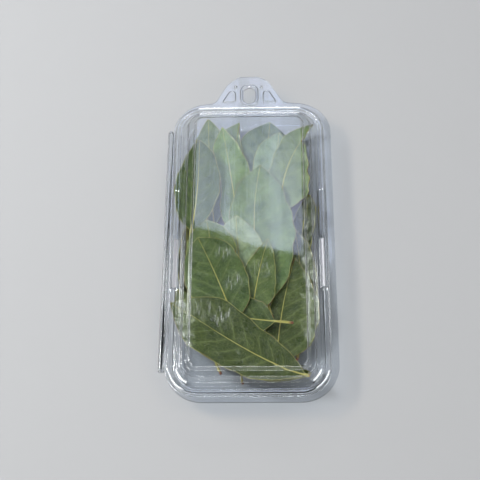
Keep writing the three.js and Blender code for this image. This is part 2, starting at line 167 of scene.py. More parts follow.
# stalk and tip are where the cut stalk and the point lie, and turn is the point that the midrib's
# curve leans towards. left and right are the half widths at the inner BLADE_PLACES. level is the
# blade's height, keel, curl and ripple are how it folds, cups and waves, stem is the bare stalk's
# length, and wave is how far the margin waves.
Leaf = namedtuple(
    "Leaf", "stalk turn tip left right green level keel curl stem wave ripple",
    defaults=(0.12, 0.2))
LEAVES = {
    "leaf_buried": Leaf(
        (-3.6, -88.2), (-9, -54.5), (-14.3, -20.8), (6, 9, 6), (6, 9, 6),
        "#48552f", 2.2, 0.3, 0.3, 9),
    "leaf_top_middle": Leaf(
        (-13.7, 26.3), (-13, 59.5), (-6.7, 92), (9, 14, 12.5), (5, 7, 2.5),
        "#74856a", 2.4, 0.1, 0.1, 7),
    "leaf_top_right": Leaf(
        (7.8, 26.1), (9.5, 59.5), (13.4, 92.5), (11, 16.5, 17), (10, 17.5, 14.5),
        "#647566", 1.5, -0.2, 0.2, 7),
    "leaf_front_right": Leaf(
        (-16, -67), (8, -80.5), (35.9, -82.5), (5.5, 8.5, 5.5), (8.5, 7.5, 4),
        "#37441b", 4.4, 0.2, 0.2, 7),
    "leaf_top_left": Leaf(
        (-21, 8.4), (-26.5, 52.5), (-27, 94), (7.5, 11.5, 8), (8.5, 14, 11),
        "#6b7b5c", 3.8, 0.4, 0.3, 8),
    "leaf_right_dark": Leaf(
        (29.4, -29), (30.5, 4), (37.6, 37), (5, 7.5, 5), (4, 6, 5.5),
        "#1f2a0d", 3.8, 0.2, 0.2, 7),
    "leaf_upper_middle": Leaf(
        (-5.2, 1), (-10, 44), (-17.8, 88.4), (9, 6.5, 8), (8.5, 12.5, 8),
        "#658040", 5.4, 0.3, 0.2, 8, 0.25),
    "leaf_right_inner": Leaf(
        (14.7, 11.5), (16, 48), (19.2, 85), (9, 14, 13), (8, 12.5, 9),
        "#839781", 4.5, 0.2, 0.2, 8),
    "leaf_right_edge": Leaf(
        (28, -74.4), (35, -31.5), (28.3, 11.6), (5.5, 8.5, 6), (6, 8.5, 7),
        "#303c17", 6, 0.3, 0.2, 9),
    "leaf_right_upper": Leaf(
        (21, 14.8), (15.5, 56.5), (41, 87.5), (6.5, 10.5, 10), (15, 13.5, 1),
        "#687a54", 6.8, 0.3, 0.2, 8, 0.3, 0.3),
    "leaf_right_lower": Leaf(
        (15.9, -85.4), (16.5, -46.5), (27.9, -8.6), (7, 7, 1), (18.5, 21.5, 13),
        "#435027", 8, 0.3, 0.3, 8),
    "leaf_centre_large": Leaf(
        (14, -48.7), (-3.5, 4), (7.1, 57.4), (9.5, 15, 12.5), (18.5, 24, 18),
        "#5f764a", 9.6, 0.3, 0.2, 9, 0.2),
    "leaf_front_left": Leaf(
        (-16, -84.5), (-27.5, -57), (-43, -31), (6, 9, 6), (6, 9, 6),
        "#48582c", 10.7, 0.2, 0.2, 9),
    "leaf_left_dark": Leaf(
        (-33, -55.5), (-38, -21.5), (-38.6, 13.5), (2.5, 5.5, 3), (5.5, 8.5, 5.5),
        "#212b0c", 8.4, 0.3, 0.2, 7),
    "leaf_centre_pale": Leaf(
        (-1.2, -49.3), (-6.4, -16.5), (-8.2, 19.8), (9.5, 15, 11.5), (10.5, 16.5, 11.5),
        "#8a9a7e", 11.2, 0.3, 0.2, 8),
    "leaf_left_upper": Leaf(
        (-36.6, -0.3), (-31, 37), (-32.3, 75.3), (11, 13.5, 8), (9.5, 13.5, 10),
        "#3c4f26", 12.2, 0.3, 0.2, 9),
    "leaf_centre_lower": Leaf(
        (1.2, -55.2), (3.5, -26), (11.5, 2.2), (6, 9, 4.5), (10.5, 10, 6),
        "#546537", 12.7, 0.2, 0.2, 8, 0.16),
    "leaf_left_middle": Leaf(
        (-20.2, -34), (-21, -9), (-26.3, 15.3), (9.5, 15, 11), (9.5, 14.5, 10),
        "#596b3e", 13.9, 0.2, 0.2, 7),
    "leaf_long_stalk": Leaf(
        (26.1, -54), (-4, -51.5), (-26.5, -46), (8, 10, 6.5), (11, 13, 8),
        "#3c4d24", 14.2, 0.2, 0.2, 10),
    "leaf_round_left": Leaf(
        (-5.7, -61.4), (-16.5, -28), (-31.2, 2.2), (12, 18.5, 14), (13.5, 17, 15),
        "#42552a", 15.6, 0.3, 0.2, 8),
    "leaf_front_large": Leaf(
        (34.9, -87.5), (12, -84.5), (-46.5, -40.5), (6, 14.5, 15), (8.5, 15, 18),
        "#39461e", 17.05, 0.1, 0, 6, 0.16),
}
VEIN_SPACING = 8.5
VEIN_SLANT = 0.72  # how far a side vein runs forward for each millimetre outward
VEIN_CURVE = 0.014  # how much that grows with each millimetre

# ---- the stage ----
# The camera looks down on the pack from the front, a little from the right.
CAMERA_PLACE = (14.5, -303.0, 587.7)
CAMERA_RIGHT = (0.9995, 0.0063, -0.0315)
CAMERA_UP = (0.0092, 0.8835, 0.4684)
CAMERA_LENS = 79.8
CAMERA_SENSOR = 36
CAMERA_CLIP = (0.02, 20)  # metres

# The softbox hangs over the far end, where the flat lid mirrors it. Its corners, in metres: near
# left, near right, far right and far left.
SOFTBOX_CORNERS = [(-0.25, 0.695), (0.13, 0.575), (0.13, 1.3), (-0.25, 1.3)]
SOFTBOX_HEIGHT = 1.22
SOFTBOX_GLOW = 3.6
# As shares of its width or depth: the bow of its near edge, and where each fade starts and ends.
SOFTBOX_BOW = 0.33
SOFTBOX_NEAR = (0.02, 0.048)
SOFTBOX_FAR = (0.05, 0.6)
SOFTBOX_FAR_LIGHT = 0.52
SOFTBOX_LEFT = (0.0, 0.15)
SOFTBOX_RIGHT = (1.0, 0.9)

# The lamps all face the pack: size and place in metres, power in watts, and a colour if not white.
LAMPS = {
    "lamp_far": ((0.5, 0.3), (-0.03, 1.8, 1.15), 6),
    "lamp_key": ((0.3, 0.3), (-0.95, 0.3, 0.95), 14),
    "lamp_left_top": ((0.36, 0.36), (-0.52, 0.1, 1.3), 5),
    "lamp_right_top": ((0.36, 0.36), (0.52, 0.1, 1.3), 4),
    "lamp_left_far": ((0.12, 0.4), (-1.2, 0.6, 0.6), 1),
    "lamp_left_near": ((1.2, 0.3), (-1.1, -0.5, 1.1), 2.5),
    "lamp_right_far": ((0.12, 0.4), (1.25, 0.6, 0.6), 0.6),
    "lamp_right_near": ((1.2, 0.3), (1.15, -0.5, 1.1), 2.5, "#fffdf8"),
    "lamp_front": ((0.5, 0.24), (-0.03, -1.3, 0.69), 4),
}

# The room: brightness towards the horizon and overhead, and the sines of the heights between.
ROOM_LOW, ROOM_HIGH = 1.5, 0.03
ROOM_FADE = (0.1, 0.32)


def linear(hex_colour):
    """An sRGB hex colour as linear red, green and blue."""
    parts = [int(hex_colour[i:i + 2], 16) / 255 for i in (1, 3, 5)]
    return [part / 12.92 if part <= 0.04045 else ((part + 0.055) / 1.055) ** 2.4 for part in parts]


def length_property(name, description, default, low, high):
    """A length in the sidebar, in metres."""
    return bpy.props.FloatProperty(
        name=name, description=description, default=default, min=low, max=high, unit="LENGTH",
        subtype="DISTANCE")


class BayPackSizes(bpy.types.PropertyGroup):
    """Sizes of the clamshell pack and its leaves"""

    body_width: length_property(
        "Body width", "Across the feet of the rim ridge", 0.096, 0.06, 0.15)
    body_length: length_property(
        "Body length", "Along the feet of the rim ridge", 0.198, 0.12, 0.3)
    corner_radius: length_property(
        "Corner radius", "At the foot of the rim ridge", 0.0187, 0.0165, 0.03)
    sheet_thickness: length_property(
        "Sheet thickness", "Thickness of the formed plastic sheet", 0.0005, 0.0002, 0.0006)
    leaf_thickness: length_property(
        "Leaf thickness", "Thickness of a leaf's blade", 0.00036, 0.0002, 0.0005)
    floor_width: length_property(
        "Floor width", "Side of the floor under the pack", 6.0, 1.0, 20.0)


def colour_property(name, description, hex_colour):
    """A colour in the sidebar, given as sRGB hex."""
    return bpy.props.FloatVectorProperty(
        name=name, description=description, default=linear(hex_colour), size=3, min=0, max=1,
        subtype="COLOR")


class BayPackColours(bpy.types.PropertyGroup):
    """Colours of the pack, its leaves and the stage"""

    sheet: colour_property("Sheet", "Tint of the clear sheet", "#f7f9fb")
    grained: colour_property("Grained sheet", "Tint of the grained lock bars", "#ebe8ec")
    midrib: colour_property("Midrib", "Midrib and fresh stalk", "#b3ab5c")
    vein: colour_property("Side vein", "Side veins of the blade", "#848f55")
    margin: colour_property("Margin", "Thin rim round the blade", "#a39f5a")
    browned: colour_property("Browned rim", "Stretches of the rim that have dried", "#6a5230")
    cut_end: colour_property("Cut end", "Dried end of the stalk", "#7a4630")
    floor: colour_property("Floor", "Floor under the pack", "#afb0b1")
    softbox: colour_property("Softbox", "Large light over the far end", "#d9e2ff")
    room: colour_property("Room", "Walls round the stage", "#f4f6fa")


# ---- pieces and modifiers ----
def add_primitive(operator, name, **settings):
    """A new primitive with a name, alone in the selection."""
    bpy.ops.object.select_all(action="DESELECT")
    operator(**settings)
    piece = bpy.context.object
    piece.name = piece.data.name = name
    return piece


def apply_modifier(piece, name, kind, **settings):
    """Puts a modifier with its settings on a piece and applies it."""
    modifier = piece.modifiers.new(name, kind)
    for key, value in settings.items():
        setattr(modifier, key, value)
    bpy.ops.object.modifier_apply(modifier=modifier.name)


# ---- selecting and pressing in edit mode ----
def edited_mesh():
    """The mesh that is being edited."""
    return bmesh.from_edit_mesh(bpy.context.object.data)


def show_edit():
    """Hands changes made in code back to edit mode."""
    bmesh.update_edit_mesh(bpy.context.object.data)


def select_where(kind, test):
    """Selects, in edit mode, the verts, edges or faces that pass a test, and nothing else."""
    bpy.ops.mesh.select_mode(type={"verts": "VERT", "edges": "EDGE", "faces": "FACE"}[kind])
    bpy.ops.mesh.select_all(action="DESELECT")
    for element in getattr(edited_mesh(), kind):
        if test(element):
            element.select_set(True)
    show_edit()


def middle(element):
    """The middle of an edge or face, in millimetres."""
    corners = [vert.co for vert in element.verts]
    return sum(corners, Vector()) / len(corners) / MM


def rounded_section(points, radius):
    """A section with each corner replaced by a short curve."""
    corners = [Vector(point) for point in points]
    smooth = [corners[0]]
    for before, corner, after in zip(corners, corners[1:], corners[2:]):
        into = (corner - before).normalized()
        away = (after - corner).normalized()
        reach = radius * math.tan(into.angle(away) / 2)
        shorter = min((corner - before).length, (after - corner).length)
        reach = min(reach, BEND_SHARE * shorter)
        start = corner - into * reach
        end = corner + away * reach
        for step in range(ARC_STEPS + 1):
            share = step / ARC_STEPS
            smooth.append(start.lerp(corner, share).lerp(corner.lerp(end, share), share))
    return smooth + [corners[-1]]


def press(section, bend):
    """Insets the selected face along a section, so that the sheet steps up or down with it."""
    smooth = rounded_section(section, bend)
    for before, after in zip(smooth, smooth[1:]):
        inset, rise = after - before
        bpy.ops.mesh.inset(thickness=inset * MM, depth=rise * MM, use_even_offset=True)


def start_sheet(name, sizes, face_z, section):
    """A rounded plate with its flange, pressed along a section, left in edit mode."""
    sheet = add_primitive(
        bpy.ops.mesh.primitive_plane_add, name, size=1, location=(0, 0, face_z * MM))
    sheet.scale = (sizes.body_width + 2 * FLANGE * MM, sizes.body_length + 2 * FLANGE * MM, 1)
    bpy.ops.object.transform_apply(location=True, rotation=False, scale=True)
    bpy.ops.object.mode_set(mode="EDIT")
    bpy.ops.mesh.select_all(action="SELECT")
    radius = sizes.corner_radius + FLANGE * MM
    bpy.ops.mesh.bevel(offset=radius, segments=CORNER_SEGMENTS, affect="VERTICES")
    bpy.ops.mesh.select_all(action="SELECT")
    press([(-FLANGE, 0), *section], SHEET_BEND)
    return sheet


def trim_flange():
    """Moves each side of the flange's edge in or out to its own width."""
    for side, (x, y) in TRIM:
        select_where("verts", lambda vert: vert.is_boundary and vert.co.xy.dot(side) > 0)
        bpy.ops.transform.translate(value=(x * MM, y * MM, 0))


# ---- hang tab ----
def farthest_y():
    """The largest y of the edited mesh, in millimetres."""
    return max(vert.co.y for vert in edited_mesh().verts) / MM


def pull_tab():
    """Extrudes the straight end of the flange, row by row, into the hang tab."""
    foot = farthest_y()
    select_where("edges", lambda edge: edge.is_boundary and middle(edge).y > foot - CLOSE)
    reached = 0
    for reach, left, right in TAB_ROWS:
        step = (0, (reach - reached) * MM, 0)
        bpy.ops.mesh.extrude_edges_move(TRANSFORM_OT_translate={"value": step})
        for vert in edited_mesh().verts:
            if vert.select:
                vert.co.x = (left if vert.co.x < 0 else right) * MM
        show_edit()
        reached = reach


def open_tab(body_end):
    """Joins the tab and the flange before it into one face, marks its outline and removes it."""
    def on_tab(face):
        place = middle(face)
        return place.y > body_end + SHEET_BEND and abs(place.x) < TAB_REACH

    select_where("faces", on_tab)
    bpy.ops.mesh.dissolve_faces()
    outer_corner = farthest_y() - TAB_CORNER_ZONE
    select_where("verts", lambda vert: vert.co.y / MM > outer_corner)
    bpy.ops.mesh.bevel(offset=TAB_CORNER * MM, segments=3, affect="VERTICES")
    select_where("faces", on_tab)
    bpy.ops.mesh.region_to_loop()
    bpy.ops.mesh.mark_seam()
    select_where("faces", on_tab)
    bpy.ops.mesh.delete(type="ONLY_FACE")


def add_round_form(centre, radius, stretch, face_z, section):
    """A round or stadium-shaped form, pressed along a section; stretch is half its straight run."""
    place = Vector((*centre, face_z)) * MM
    bpy.ops.mesh.select_all(action="DESELECT")
    bpy.ops.mesh.primitive_circle_add(
        vertices=ROUND_SEGMENTS, radius=radius * MM, fill_type="NGON", location=place,
        rotation=(0, 0, math.pi / ROUND_SEGMENTS))
    for vert in edited_mesh().verts:
        if vert.select:
            vert.co.y += math.copysign(stretch * MM, vert.co.y - place.y)
    show_edit()
    press(section, FORM_BEND)


def add_pad(corners, face_z, section):
    """A low flat-topped form with rounded corners."""
    bpy.ops.mesh.select_mode(type="FACE")
    bpy.ops.mesh.select_all(action="DESELECT")
    edited = edited_mesh()
    face = edited.faces.new([edited.verts.new(Vector((x, y, face_z)) * MM) for x, y in corners])
    face.normal_update()
    if face.normal.z < 0:
        face.normal_flip()
    face.select_set(True)
    show_edit()
    bpy.ops.mesh.bevel(offset=PAD_ROUNDING * MM, segments=4, affect="VERTICES")
    select_where("faces", lambda face: all(edge.is_boundary for edge in face.edges))
    press(section, FORM_BEND)


def fill_tab():
    """Fills the flat sheet between the tab's outline and its forms, and opens the slot."""
    outline = [edge for edge in edited_mesh().edges if edge.seam]
    low = min(vert.co.y for edge in outline for vert in edge.verts)
    select_where("edges", lambda edge: edge.seam or (
        edge.is_boundary and middle(edge).y > low / MM and abs(middle(edge).x) < TAB_REACH))
    bpy.ops.mesh.fill(use_beauty=True)
    select_where("faces", lambda face: len(face.verts) == ROUND_SEGMENTS
                 and (middle(face).xy - Vector(SLOT_CENTRE)).length < NEAR)
    bpy.ops.mesh.delete(type="FACE")
    bpy.ops.mesh.select_all(action="SELECT")
    bpy.ops.mesh.mark_seam(clear=True)


def start_half(name, sizes, face_z, section, slot_section):
    """A pressed sheet with its flange trimmed, its tab marked out and its slot's form in place."""
    sheet = start_sheet(name, sizes, face_z, section)
    trim_flange()
    pull_tab()
    open_tab(sizes.body_length / 2 / MM)
    rim = slot_section[-1][0]
    add_round_form(SLOT_CENTRE, SLOT_HALF_WIDTH + rim, SLOT_STRAIGHT, face_z, slot_section)
    return sheet


# ---- hinge side and long sides ----
def add_bead(face_z, side):
    """Half a tube with closed ends along the folded side; side is 1 for up and -1 for down."""
    low, high = BEAD_ENDS
    bpy.ops.mesh.select_all(action="DESELECT")
    bpy.ops.mesh.primitive_cylinder_add(
        vertices=ROUND_SEGMENTS, radius=BEAD_RADIUS * MM, depth=(high - low) * MM,
        location=Vector((BEAD_X, (low + high) / 2, face_z)) * MM, rotation=(math.pi / 2, 0, 0))
    for end, dome in zip(BEAD_ENDS, BEAD_DOMES):
        select_where("faces", lambda face: len(face.verts) > 4 and abs(middle(face).y - end) < CLOSE
                     and abs(middle(face).x - BEAD_X) < NEAR)
        press(dome, FORM_BEND)
    select_where("faces", lambda face: abs(middle(face).x - BEAD_X) < BEAD_RADIUS)
    bpy.ops.mesh.bisect(
        plane_co=(0, 0, face_z * MM), plane_no=(0, 0, 1), threshold=CUT_TOLERANCE,
        clear_inner=side > 0, clear_outer=side < 0)
    foot = BEAD_X + BEAD_RADIUS
    half_length = (high - low) * MM / 2
    select_where("edges", lambda edge: edge.is_boundary and edge.calc_length() > half_length
                 and abs(middle(edge).x - foot) < NEAR)
    bpy.ops.mesh.edge_face_add()


def cut_long_sides(places):
    """Cuts the ridges of both long sides across, at the given places along them."""
    inner, outer = RIDGE_X
    for y in places:
        def crosses(face):
            along = [vert.co.y / MM for vert in face.verts]
            return inner < abs(middle(face).x) < outer and min(along) < y < max(along)
        select_where("faces", crosses)
        bpy.ops.mesh.bisect(
            plane_co=(0, y * MM, 0), plane_no=(0, 1, 0), threshold=CUT_TOLERANCE)


def raise_lock_zones():
    """Lifts groove and ridge in the middle of both long sides and presses the lock bars up."""
    low, high = LOCK_ZONE
    for foot, top in ((low, low + LOCK_STEP), (high, high - LOCK_STEP)):
        beyond = math.copysign(LOCK_BEND, foot - top)
        cut_long_sides((foot + beyond, foot, top, top - beyond))
    cut_long_sides(LOCK_BAR_Y)

    def in_zone(vert):
        x, y, _ = vert.co / MM
        return LOCK_GROOVE[0] < abs(x) < LOCK_GROOVE[1] and low + 0.1 < y < high - 0.1

    def in_bar(face):
        x, y, _ = middle(face)
        return LOCK_BAR_X[0] < abs(x) < LOCK_BAR_X[1] and LOCK_BAR_Y[0] < y < LOCK_BAR_Y[1]

    select_where("verts", in_zone)
    bpy.ops.transform.translate(value=(0, 0, LOCK_LIFT * MM))
    select_where("faces", in_bar)
    step, rise = LOCK_BAR_SECTION
    bpy.ops.mesh.inset(thickness=step * MM, depth=rise * MM)
    for face in edited_mesh().faces:
        if face.select:
            face.material_index = GRAINED
    show_edit()


def finish_sheet(sheet, sizes, offset):
    """Gives the surface its thickness, above it for 1 and below it for -1, and rounds cut edges."""
    bpy.ops.mesh.select_all(action="SELECT")
    bpy.ops.mesh.normals_make_consistent(inside=False)
    widest = max(edited_mesh().faces, key=lambda face: face.calc_area())
    if widest.normal.z < 0:
        bpy.ops.mesh.flip_normals()
    bpy.ops.object.mode_set(mode="OBJECT")
    apply_modifier(
        sheet, "Thickness", "SOLIDIFY", thickness=sizes.sheet_thickness, offset=offset,
        use_even_offset=True)
    apply_modifier(
        sheet, "Cut edges", "BEVEL", width=CUT_ROUNDING * MM, segments=2, limit_method="ANGLE",
        angle_limit=CUT_ANGLE)
    bpy.ops.object.shade_smooth_by_angle(angle=SMOOTH_ANGLE)
    apply_modifier(sheet, "Flat faces", "WEIGHTED_NORMAL", keep_sharp=True)


# ---- leaves ----
def smoothstep(value, low, high):
    """0 up to low, 1 from high on, and a smooth rise between."""
    share = min(1, max(0, (value - low) / (high - low)))
    return share * share * (3 - 2 * share)


def lerp(low, high, share):
    """The number that lies a share of the way from low to high."""
    return low + (high - low) * share


def leaf_height(leaf, x, y, along, across):
    """Height of the middle of the blade, in millimetres, as the frame's leaves have it."""
    beside = SIDE_LEAN * smoothstep(abs(x), *SIDE_LEAN_X)
    beyond = END_LEAN * smoothstep(abs(y), *END_LEAN_Y)
    rest = lerp(leaf.level, RIM_LEVEL, max(beside, beyond))
    station = min(1, max(0, along))
    keel = leaf.keel * across ** 2
    curl = leaf.curl * (2 * station - 1) ** 2
    ripple = leaf.ripple * math.sin(3 * math.pi * station) * across ** 2
    return rest + keel + curl + ripple


class Midrib:
    """The curve from the cut stalk to the tip, seen from above."""

    def __init__(self, leaf):
        self.start, self.turn, self.end = (
            Vector(point) for point in (leaf.stalk, leaf.turn, leaf.tip))
        self.length = (self.end - self.start).length

    def place(self, station):
        """A point of the curve; station runs from 0 at the cut to 1 at the tip."""
        return self.start.lerp(self.turn, station).lerp(self.turn.lerp(self.end, station), station)

    def heading(self, station):
        """The curve's direction at a station."""
        return (self.turn - self.start).lerp(self.end - self.turn, station).normalized()


def half_width(widths, along):
    """Half width of a blade: a smooth curve through its squared half widths, ending in a point."""
    if not 0 < along < 1:
        return 0
    squares = [0, *(width ** 2 for width in widths), 0]
    slopes = [0]
    for i in range(1, len(widths) + 1):
        rise = squares[i + 1] - squares[i - 1]
        slopes.append(rise / (BLADE_PLACES[i + 1] - BLADE_PLACES[i - 1]))
    slopes.append(0)
    i = max(i for i, place in enumerate(BLADE_PLACES) if place <= along)
    span = BLADE_PLACES[i + 1] - BLADE_PLACES[i]
    t = (along - BLADE_PLACES[i]) / span
    level = squares[i] * (1 + 2 * t) * (1 - t) ** 2 + squares[i + 1] * (3 - 2 * t) * t ** 2
    bend = span * (slopes[i] * t * (1 - t) ** 2 - slopes[i + 1] * t ** 2 * (1 - t))
    return math.sqrt(max(0, level + bend))


def leaf_point(leaf, midrib, station, column, seed):
    """One point of a blade: its place, its thickness share, and its places for the two maps."""
    blade_length = midrib.length - leaf.stem
    blade_start = leaf.stem / midrib.length
    along = (station - blade_start) / (1 - blade_start)
    left = column > 0

    # The blade's outline, a little uneven, from the midrib's side at edge out to reach.
    width = half_width(leaf.left if left else leaf.right, along)
    outline = 1 + leaf.wave * 0.25 * math.sin(11 * along + seed) * math.sin(23 * along + 2 * seed)
    edge = STALK_HALF_WIDTH * (1 - TIP_TAPER * smoothstep(along, TIP_START, 1))
    reach = edge + width * outline

    # The stalk's columns are spread evenly; on the blade a few of them stay on the midrib.
    span = abs(column)
    spread = max(0, (span - CORE) / (1 - CORE))
    core = min(edge, 0.6 * reach)
    cored = core * min(1, span / CORE) + (reach - core) * spread
    offset = lerp(edge * span + (reach - edge) * span, cored, smoothstep(along, 0, 0.06))
    across = math.copysign(offset / reach, column)
    lateral = math.copysign(offset, column)
    centre = midrib.place(station)
    heading = midrib.heading(station)
    x = centre.x - heading.y * lateral
    y = centre.y + heading.x * lateral

    # The midrib, the rim's waves and the swelling between side veins stand out from the blade.
    stalk = 1 - smoothstep(along, *STALK_FADE)
    rib = (1 - smoothstep(offset, *MIDRIB_SIDE)) * (1 - stalk)
    wave = leaf.wave * math.sin(17 * along + 3 * seed + (1 if left else 0)) * across ** 4
    phase = (along * blade_length - VEIN_SLANT * offset
             - VEIN_CURVE * offset ** 2) / VEIN_SPACING + (0.5 if left else 0)
    quilt = QUILT_DEPTH * math.cos(2 * math.pi * phase) * smoothstep(offset, *QUILT_SIDE)
    z = leaf_height(leaf, x, y, along, across) + wave - quilt - MIDRIB_DEPTH / 2 * rib
    round_off = math.sqrt(max(0.06, 1 - 0.9 * across ** 2))
    return {
        "place": Vector((x, y, z)) * MM,
        "stalk": stalk * round_off,
        "rib": rib,
        "blade": (lateral, along * blade_length),
        "margin": (reach - offset, along if along > 0 else along * (1 - blade_start) / blade_start),
    }


def build_leaf(name, leaf, seed, sizes):
    """A grid laid along the midrib, thickened into a blade with its midrib and stalk."""
    blade = add_primitive(
        bpy.ops.mesh.primitive_grid_add, name.replace("leaf", "bay_leaf", 1),
        x_subdivisions=LEAF_COLUMNS, y_subdivisions=LEAF_ROWS, size=1, calc_uvs=False)
    midrib = Midrib(leaf)
    points = []
    for vert in blade.data.vertices:
        points.append(leaf_point(leaf, midrib, vert.co.y + 0.5, -2 * vert.co.x, seed))
    group = blade.vertex_groups.new(name="Thickness")
    thickest = STALK_THICKNESS * MM
    for vert, point in zip(blade.data.vertices, points):
        vert.co = point["place"]
        blade_part = (sizes.leaf_thickness + MIDRIB_DEPTH * MM * point["rib"]) / thickest
        group.add([vert.index], max(blade_part, point["stalk"]), "REPLACE")
    for map_name in ("blade", "margin"):
        layer = blade.data.uv_layers.new(name=map_name)
        for loop in blade.data.loops:
            layer.uv[loop.index].vector = points[loop.vertex_index][map_name]
    apply_modifier(
        blade, "Thickness", "SOLIDIFY", thickness=thickest, offset=0, vertex_group=group.name)
    blade.vertex_groups.clear()
    bpy.ops.object.shade_smooth_by_angle(angle=LEAF_SMOOTH_ANGLE)
    return blade


# ---- materials ----
def add_node(tree, kind, inputs=(), **settings):
    """Adds a node and returns its first live output; an input is a plain value or an output."""
    node = tree.nodes.new("ShaderNode" + kind)
    for key, value in settings.items():
        setattr(node, key, value)
    for key, value in dict(inputs).items():
        if isinstance(value, bpy.types.NodeSocket):
            tree.links.new(value, node.inputs[key])
        else:
            node.inputs[key].default_value = value
    return next((output for output in node.outputs if output.enabled), node)


def new_material(name):
    """A material with an empty node tree, and add_node for that tree."""
    material = bpy.data.materials.new(name)
    material.use_nodes = True
    material.node_tree.nodes.clear()
    return material, partial(add_node, material.node_tree)


# Node kinds and a setting that are used again and again below.
MATH = "Math"
RAMP = "MapRange"
NOISE = "TexNoise"
MIX = "Mix"
SMOOTH = {"interpolation_type": "SMOOTHSTEP"}


def finish_clear_surface(add, surface, tint):
    """Lets light that is on its way to the leaves or the floor pass the sheet straight and once."""
    light = add("LightPath").node.outputs
    lit = add(MATH, {0: light["Is Shadow Ray"], 1: light["Is Diffuse Ray"]}, operation="MAXIMUM")
    through = add("BsdfTransparent", {"Color": (*tint, 1)})
    surface = add("MixShader", {"Fac": lit, 1: surface, 2: through})
    add("OutputMaterial", {"Surface": surface})


def clear_sheet_material(tint):
    """Thermoformed clear PET, rolled and then pressed.

    The sheet is glossy and nearly colourless. Faint draw lines left by the rolls run the long way,
    a slow waviness from forming bends the reflections, and short scuffs where packs rub each other
    cloud it a little.
    """
    material, add = new_material("Thermoformed clear PET sheet")
    place = add("TexCoord").node.outputs["Object"]

    # Draw lines 2.4 mm wide and nearly 30 times as long, over waves 18 mm wide and 30 mm long.
    drawn = add("Mapping", {"Vector": place, "Scale": (1, 0.035, 0)})
    lines = add(NOISE, {"Vector": drawn, "Scale": 420, "Detail": 2})
    flat = add("Mapping", {"Vector": place, "Scale": (1, 0.6, 0)})
    waves = add(NOISE, {"Vector": flat, "Scale": 55, "Detail": 1, "Roughness": 0.4})
    mixed = add(MIX, {"Factor": 0.12, "A": waves, "B": lines}, data_type="FLOAT")

    # Scuffs: scratches 0.6 mm wide and 6.5 mm long, in the patches that rubbed.
    scored = add("Mapping", {
        "Vector": place, "Rotation": (0, 0, math.radians(-10)), "Scale": (1, 0.09, 0)})
    scratches = add(NOISE, {"Vector": scored, "Scale": 1700, "Detail": 1})
    scratches = add(RAMP, {"Value": scratches, "From Min": 0.5, "From Max": 0.72}, **SMOOTH)
    rubbed = 0.0
    for x, y, radius in SCUFFS:
        spot = (x * MM, y * MM, PANEL_Z * MM)
        far = add("VectorMath", {0: place, 1: spot}, operation="DISTANCE")
        near = add(RAMP, {
            "Value": far, "From Min": radius * MM, "From Max": 0.2 * radius * MM}, **SMOOTH)
        rubbed = add(MATH, {0: near, 1: rubbed}, operation="MAXIMUM")
    scuffs = add(MATH, {0: scratches, 1: rubbed}, operation="MULTIPLY")
    clarity = add(RAMP, {"Value": scuffs, "To Min": 1.0, "To Max": SCUFF_CLARITY})

    bump = add("Bump", {"Height": mixed, "Strength": 0.5, "Distance": 0.12 * MM})
    clear = add("BsdfPrincipled", {
        "Base Color": (*tint, 1), "Roughness": 0.03, "IOR": 1.57,
        "Transmission Weight": clarity, "Normal": bump})
    finish_clear_surface(add, clear, tint)
    return material


def grained_sheet_material(tint, clear_tint):
    """The same PET pressed against a grained tool, for grip on the lock bars.

    The grain, 0.4 mm across, scatters what is mirrored, so the bars show as pale strips.
    """
    material, add = new_material("Thermoformed PET sheet, grained")
    place = add("TexCoord").node.outputs["Object"]
    grain = add(NOISE, {"Vector": place, "Scale": 2500, "Detail": 1})
    bump = add("Bump", {"Height": grain, "Strength": 0.5, "Distance": 0.1 * MM})
    cloudy = add("BsdfPrincipled", {
        "Base Color": (*tint, 1), "Roughness": 0.32, "IOR": 1.57,
        "Transmission Weight": 0.95, "Normal": bump})
    finish_clear_surface(add, cloudy, clear_tint)
    return material


